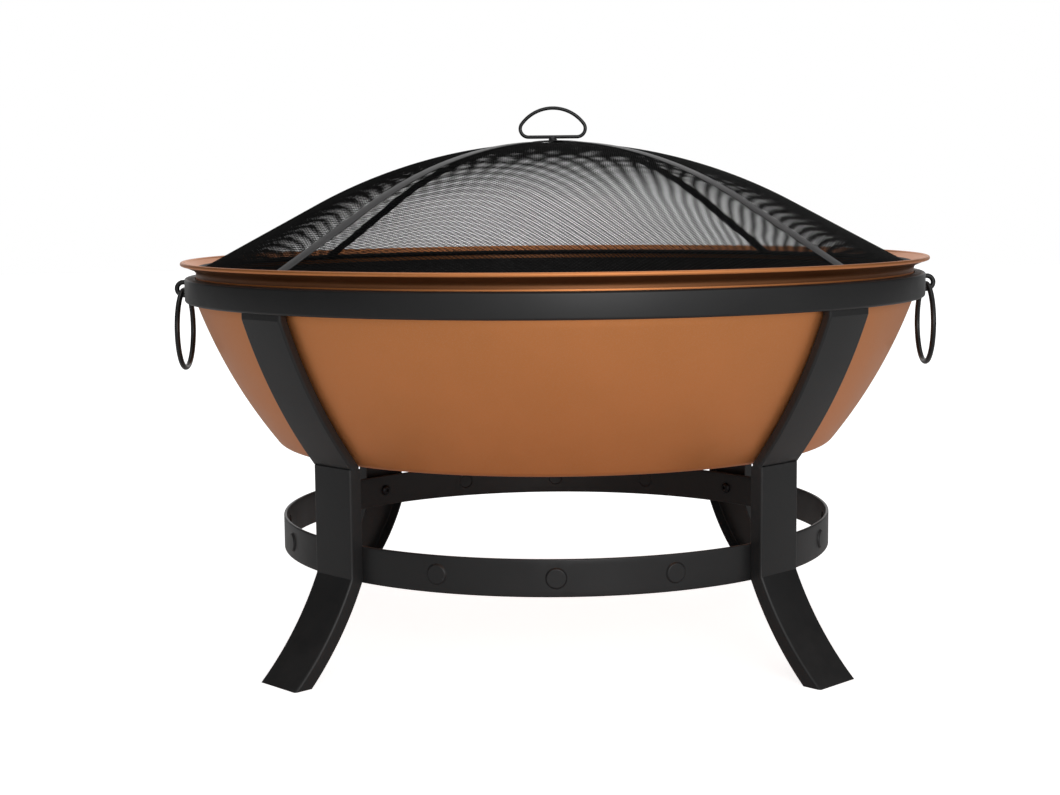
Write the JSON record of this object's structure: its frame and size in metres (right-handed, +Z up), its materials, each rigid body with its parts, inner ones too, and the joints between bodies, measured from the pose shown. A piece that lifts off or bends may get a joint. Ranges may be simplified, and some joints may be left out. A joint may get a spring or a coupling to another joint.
{
  "type": "fire pit with grate",
  "caption": "Round steel fire pit: flared bowl on a banded stand with curved channel legs and a lower ring, log grate inside, domed mesh spark screen, drop-ring handles.",
  "frame": {"origin": "on the ground under the middle of the bowl", "axes": "+Z up; +X to the right through the right-hand ring handle, which is the widest direction; -Y is the front"},
  "size_m": [0.791, 0.762, 0.5383],
  "materials": {
    "black_stand": "satin black powder coat on steel sheet and strip",
    "black_wire": "satin black powder coat on round steel wire",
    "copper_bowl": "satin copper-coloured heat-resistant paint on pressed steel",
    "grate_black": "matt black heat-resistant paint on steel rod",
    "mesh_black": "matt black paint on expanded steel mesh",
    "rib_black": "satin black paint on flat steel strip",
    "zinc_fasteners": "black zinc-plated steel"
  },
  "bodies": {
    "stand": {"support_band": "black_stand", "upper_leg_front_left": "black_stand", "upper_leg_front_right": "black_stand", "upper_leg_back_right": "black_stand", "upper_leg_back_left": "black_stand", "lower_leg_front_left": "black_stand", "lower_leg_front_right": "black_stand", "lower_leg_back_right": "black_stand", "lower_leg_back_left": "black_stand", "bridge_plate_front_left": "black_stand", "bridge_plate_front_right": "black_stand", "bridge_plate_back_right": "black_stand", "bridge_plate_back_left": "black_stand", "leg_weld_studs": "zinc_fasteners", "leg_washers": "zinc_fasteners", "leg_nuts": "zinc_fasteners", "lower_ring": "black_stand", "ring_bolts": "zinc_fasteners", "ring_nuts": "zinc_fasteners", "staple_left": "black_wire", "staple_right": "black_wire"},
    "left_ring_handle": {"ring_handle_left": "black_wire"},
    "right_ring_handle": {"ring_handle_right": "black_wire"},
    "bowl": {"bowl": "copper_bowl"},
    "grate": {"grate_hoop": "grate_black", "grate_bars": "grate_black", "grate_cross_rods": "grate_black", "grate_feet": "grate_black"},
    "screen": {"screen_hoop": "mesh_black", "screen_mesh": "mesh_black", "rib_lower": "rib_black", "rib_upper": "rib_black", "handle_boss": "black_wire", "handle_loop": "black_wire", "handle_washer": "zinc_fasteners", "handle_screw": "zinc_fasteners"}
  },
  "joints": [
    {"name": "bowl_lift", "type": "slide", "parent": "stand", "child": "bowl", "axis": [0, 0, 1], "range_m": [0, 0.25]},
    {"name": "grate_lift", "type": "slide", "parent": "bowl", "child": "grate", "axis": [0, 0, 1], "range_m": [0, 0.12]},
    {"name": "screen_lift", "type": "slide", "parent": "bowl", "child": "screen", "axis": [0, 0, 1], "range_m": [0, 0.3]},
    {"name": "left_ring_swing", "type": "hinge", "parent": "stand", "child": "left_ring_handle", "pos_m": [-0.3855, 0, 0.3531], "axis": [0, 1, 0], "range_deg": [-25, 150]},
    {"name": "right_ring_swing", "type": "hinge", "parent": "stand", "child": "right_ring_handle", "pos_m": [0.3855, 0, 0.3531], "axis": [0, -1, 0], "range_deg": [-25, 150]}
  ]
}
